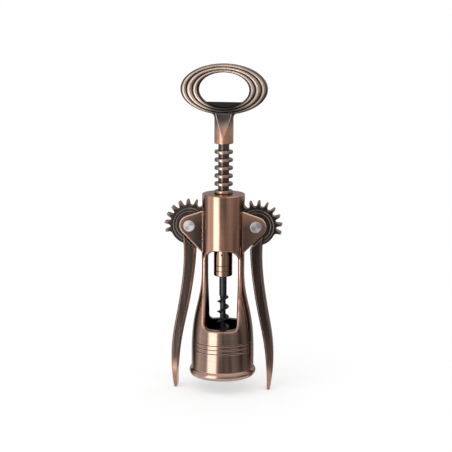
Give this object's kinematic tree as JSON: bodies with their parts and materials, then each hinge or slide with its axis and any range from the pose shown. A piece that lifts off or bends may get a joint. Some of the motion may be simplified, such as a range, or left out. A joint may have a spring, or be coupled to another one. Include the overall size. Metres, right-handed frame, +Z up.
{
  "type": "wing corkscrew",
  "caption": "Wing corkscrew with geared side levers, a ringed rack, a worm in an open bell, and an oval ring handle with a cap lifter.",
  "frame": {"origin": "centre of the bell's mouth, in the plane of its foot bead", "axes": "+Z up the worm's axis towards the ring handle; the levers are at -X and +X; the windows face -Y and +Y; -Z leaves the mouth, where the bottle comes from"},
  "size_m": [0.0708, 0.0404, 0.1978],
  "materials": {
    "antique_copper": "satin",
    "dark_copper": "satin",
    "bright_steel": "satin",
    "plain_steel": "satin",
    "black_steel": "satin",
    "black_plastic": "matte"
  },
  "bodies": {
    "frame": {"bell_frame": "antique_copper", "neck_ring": "black_plastic", "left_pivot_rivet": "bright_steel", "right_pivot_rivet": "bright_steel"},
    "rack": {"rack_sleeve": "dark_copper"},
    "spindle": {"opener_handle": "antique_copper", "cap_lifter_plate": "black_steel", "spindle_rod": "plain_steel", "worm_chuck": "antique_copper", "worm_pin": "plain_steel", "worm": "black_steel"},
    "left_wing": {"left_lever": "dark_copper"},
    "right_wing": {"right_lever": "dark_copper"}
  },
  "joints": [
    {"name": "rack_slide", "type": "slide", "parent": "frame", "child": "rack", "axis": [0, 0, 1], "range_m": [-0.029, 0]},
    {"name": "handle_turn", "type": "hinge", "parent": "rack", "child": "spindle", "pos_m": [0, 0, 0.1], "axis": [0, 0, 1], "continuous": true},
    {"name": "left_wing_swing", "type": "hinge", "parent": "frame", "child": "left_wing", "pos_m": [-0.0201, 0, 0.092], "axis": [0, 1, 0], "range_deg": [0, 121]},
    {"name": "right_wing_swing", "type": "hinge", "parent": "frame", "child": "right_wing", "pos_m": [0.0201, 0, 0.092], "axis": [0, -1, 0], "range_deg": [0, 121]}
  ],
  "couplings": [
    {"joint": "left_wing_swing", "follows": "rack_slide", "rad_per_m": -72.722},
    {"joint": "right_wing_swing", "follows": "rack_slide", "rad_per_m": -72.722}
  ]
}
